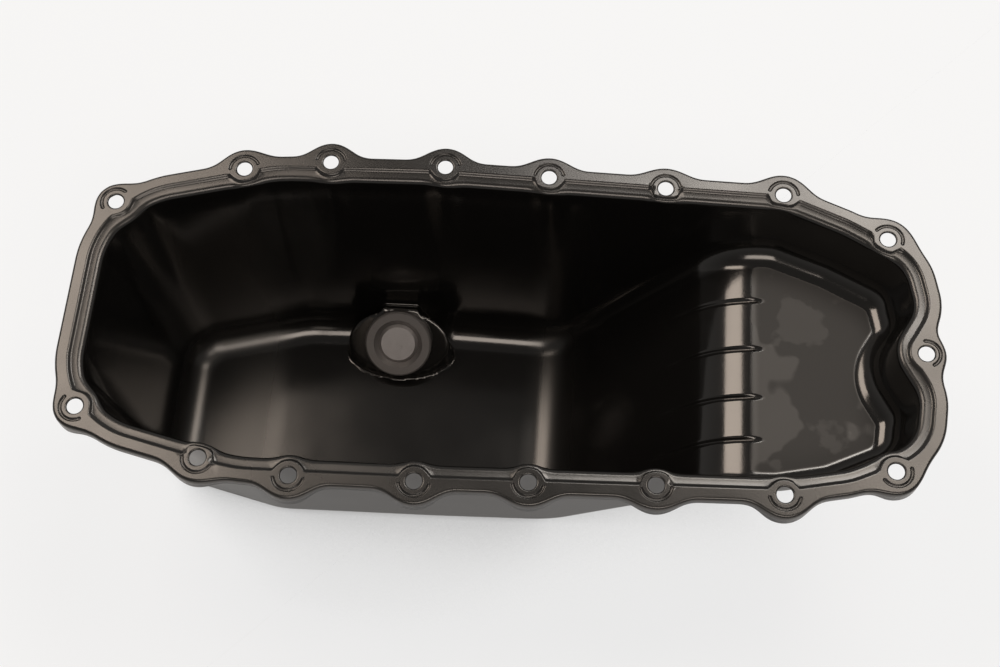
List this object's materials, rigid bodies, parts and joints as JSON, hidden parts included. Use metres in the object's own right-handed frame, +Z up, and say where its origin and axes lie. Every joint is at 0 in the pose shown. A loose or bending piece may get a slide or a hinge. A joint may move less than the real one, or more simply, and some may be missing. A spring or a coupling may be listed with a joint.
{
  "type": "engine oil pan",
  "caption": "Stamped steel oil pan with a lobed bolt flange, a deep sump, a ramp to a shallow end and a threaded drain plug in a slanted facet.",
  "frame": {"origin": "below the middle of the flange, on the plane of the sump's underside", "axes": "+X from the deep sump to the shallow end, +Y across the pan towards the drain, +Z up out of the mouth"},
  "size_m": [0.3876, 0.1744, 0.1265],
  "materials": {
    "black_coat": "glossy black electro-dipped coat on pressed steel",
    "coated_steel": "satin black coat on turned steel",
    "plug_steel": "dark phosphated steel, satin",
    "washer_metal": "soft aluminium, satin"
  },
  "bodies": {
    "pan": {"pan_shell": "black_coat", "drain_boss": "coated_steel"},
    "washer": {"plug_washer": "washer_metal"},
    "plug": {"drain_plug": "plug_steel"}
  },
  "joints": [
    {"name": "washer_travel", "type": "slide", "parent": "pan", "child": "washer", "axis": [0, 0.6293, -0.7771], "range_m": [0, 0.0075]},
    {"name": "plug_turn", "type": "hinge", "parent": "washer", "child": "plug", "pos_m": [-0.0569, 0.0359, 0.0165], "axis": [0, 0.6293, -0.7771], "range_deg": [0, 1800]}
  ],
  "couplings": [
    {"joint": "washer_travel", "follows": "plug_turn", "m_per_rad": 0.00023873}
  ]
}
